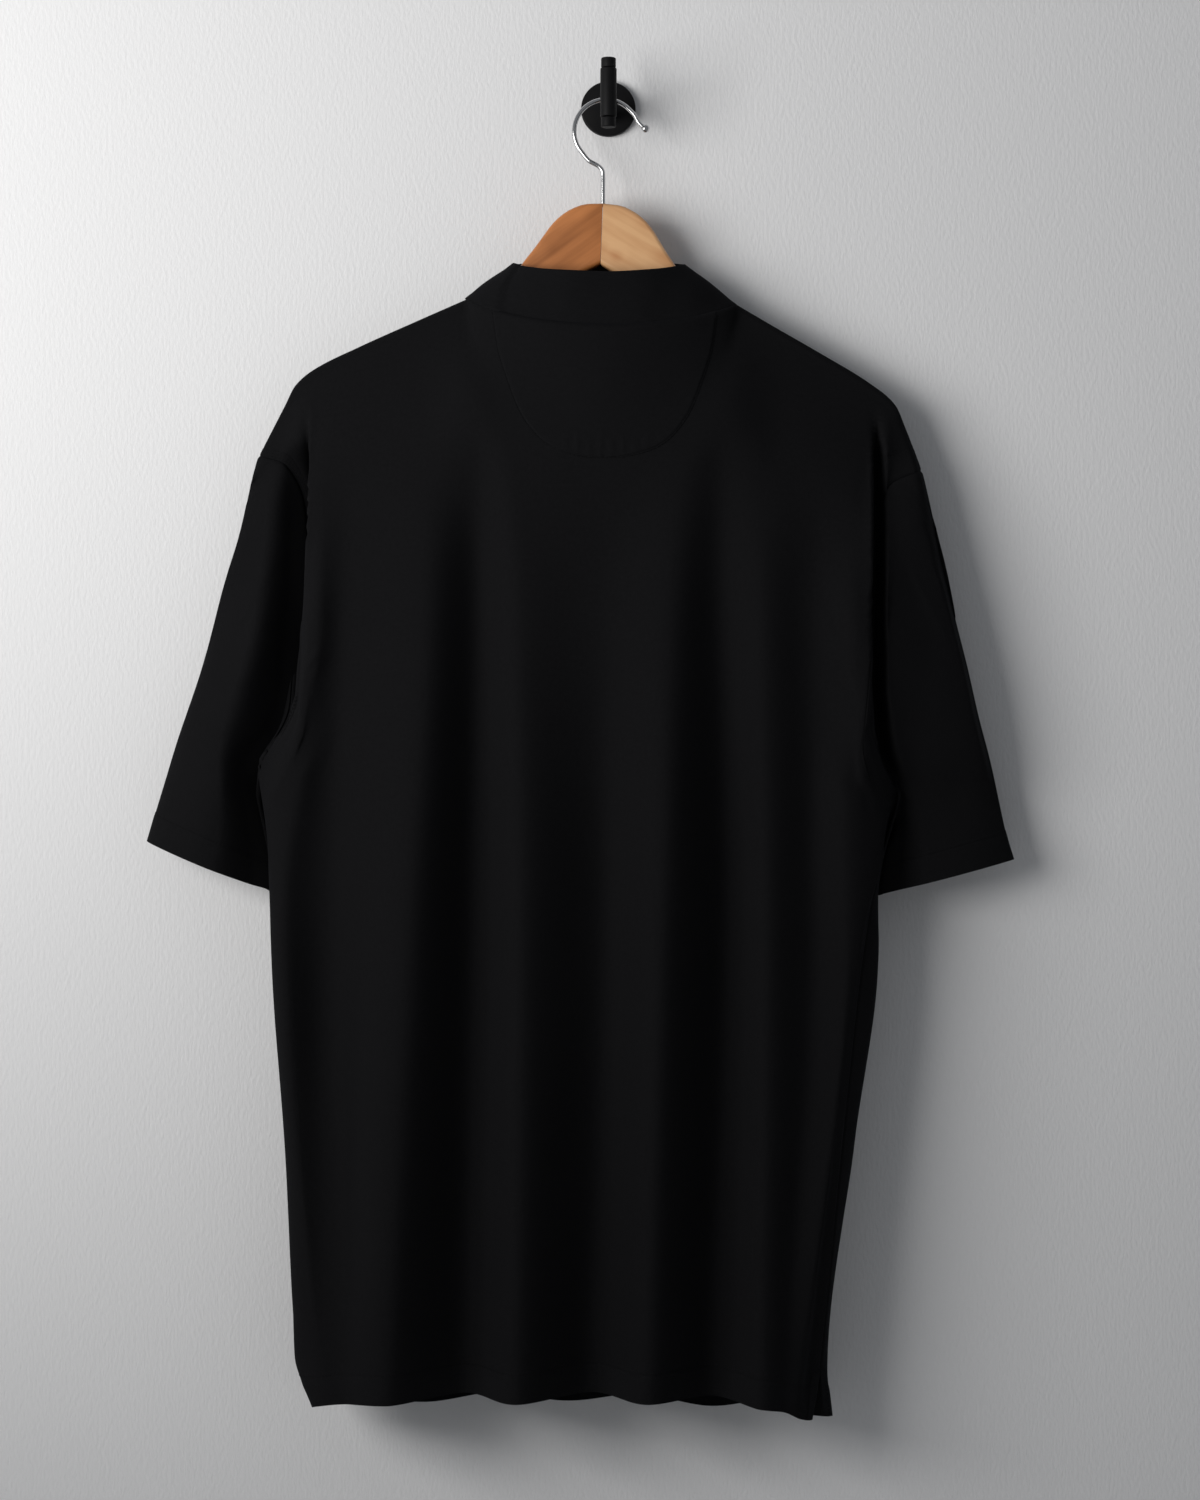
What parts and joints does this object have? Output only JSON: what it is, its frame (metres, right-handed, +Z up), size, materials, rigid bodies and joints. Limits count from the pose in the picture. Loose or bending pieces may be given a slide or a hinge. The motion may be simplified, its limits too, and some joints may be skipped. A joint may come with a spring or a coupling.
{
  "type": "mock neck t-shirt",
  "caption": "Black wide-cut short-sleeved shirt with a mock neck, seen from the back, on a wooden hanger that hangs from a round wall hook.",
  "frame": {"origin": "centre of the wall plate's back face, on the wall", "axes": "+Z up, +Y into the wall, +X to the right as seen from the room; the shirt's back faces -Y"},
  "size_m": [0.647, 0.124, 1.0097],
  "materials": {
    "black_jersey": "fine smooth knit with a faint sheen",
    "amber_wood": "clear satin lacquer, straight grain",
    "pale_wood": "clear satin lacquer, grain with a knot",
    "chromed_wire": "bright chrome",
    "matt_black_metal": "matt black paint"
  },
  "bodies": {
    "root": {"back_panel": "black_jersey", "front_panel": "black_jersey", "back_neck_patch": "black_jersey", "left_sleeve": "black_jersey", "right_sleeve": "black_jersey", "collar": "black_jersey", "hanger_left": "amber_wood", "hanger_right": "pale_wood", "hanger_hook": "chromed_wire", "wall_plate": "matt_black_metal", "wall_stem": "matt_black_metal", "wall_bar": "matt_black_metal", "bar_cap_top": "matt_black_metal", "bar_cap_bottom": "matt_black_metal"}
  },
  "joints": []
}
